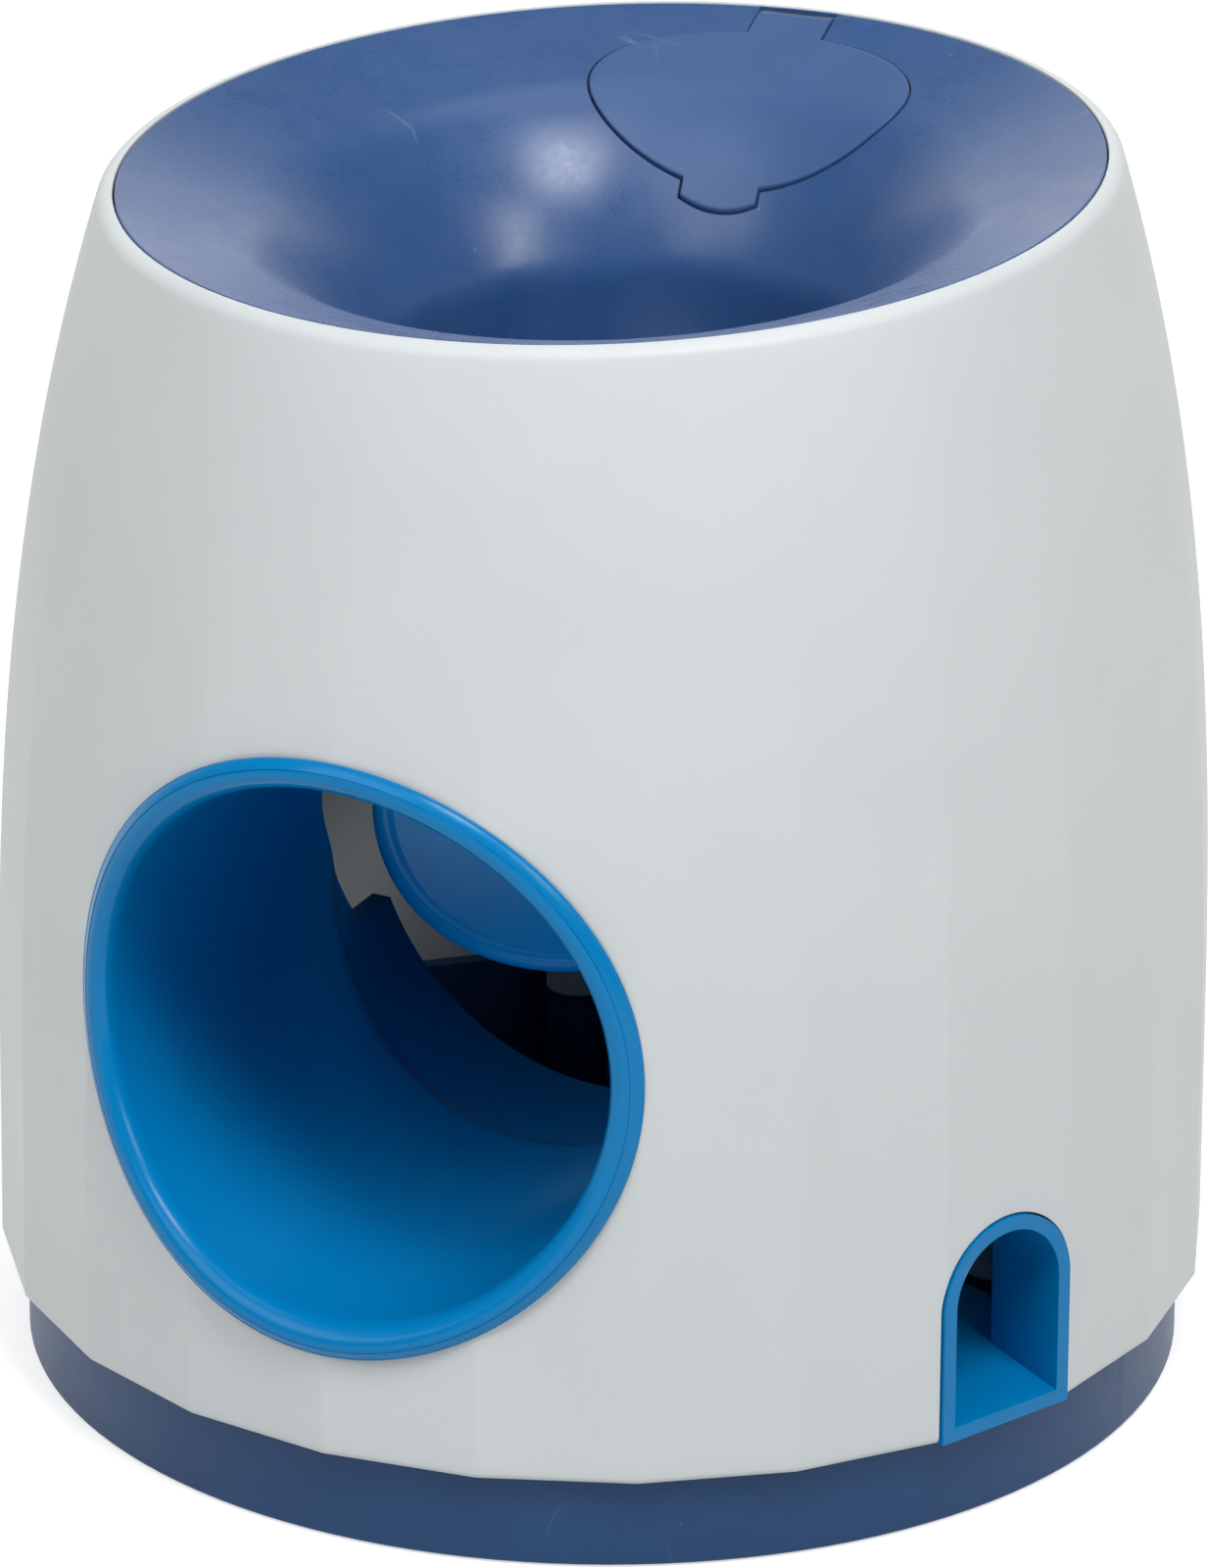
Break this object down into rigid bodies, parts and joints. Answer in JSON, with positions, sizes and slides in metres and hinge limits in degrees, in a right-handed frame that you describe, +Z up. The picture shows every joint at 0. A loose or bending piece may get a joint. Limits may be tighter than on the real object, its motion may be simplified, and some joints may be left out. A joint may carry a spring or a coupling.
{
  "type": "dog puzzle toy",
  "caption": "Barrel-shaped dog puzzle toy: a ball dropped in the top funnel tips an inner tray, rolls out of the front tube and lets treats slide to a small arched outlet.",
  "frame": {"origin": "centre of the round base, on the ground", "axes": "+Z up along the body's axis, -Y out of the ball tube, +X to the side of the treat outlet"},
  "size_m": [0.1706, 0.1719, 0.1771],
  "materials": {
    "shell_white": "satin moulded plastic, pale grey white",
    "navy_plastic": "satin moulded plastic, dark blue",
    "blue_plastic": "glossy moulded plastic, bright blue",
    "inner_white": "plain moulded plastic, pale grey",
    "steel": "zinc-plated steel",
    "rubber": "soft matt rubber"
  },
  "bodies": {
    "housing": {"body_shell": "shell_white", "funnel": "navy_plastic", "base_pan": "navy_plastic", "ball_tube": "blue_plastic", "treat_outlet": "blue_plastic", "treat_hopper": "inner_white", "treat_slide": "inner_white", "bush_left": "inner_white", "bush_right": "inner_white", "hatch_pin": "steel", "base_screws": "steel", "tube_screws": "steel", "outlet_screws": "steel", "slide_screws": "steel", "hopper_screws": "steel", "foot_ring": "rubber", "stop_bumper": "rubber"},
    "hatch": {"hatch_lid": "navy_plastic"},
    "tipper": {"ball_tray": "blue_plastic", "tray_shaft": "steel", "treat_gate": "blue_plastic", "counterweight_arm": "navy_plastic", "counterweight": "steel", "shaft_clip": "steel"}
  },
  "joints": [
    {"name": "hatch_hinge", "type": "hinge", "parent": "housing", "child": "hatch", "pos_m": [-0.00389, 0.06651, 0.17307], "axis": [-0.9973, -0.0588, -0.0446], "range_deg": [0, 90]},
    {"name": "tray_pivot", "type": "hinge", "parent": "housing", "child": "tipper", "pos_m": [0, 0.03609, 0.10006], "axis": [1, 0, 0], "range_deg": [0, 30]}
  ]
}
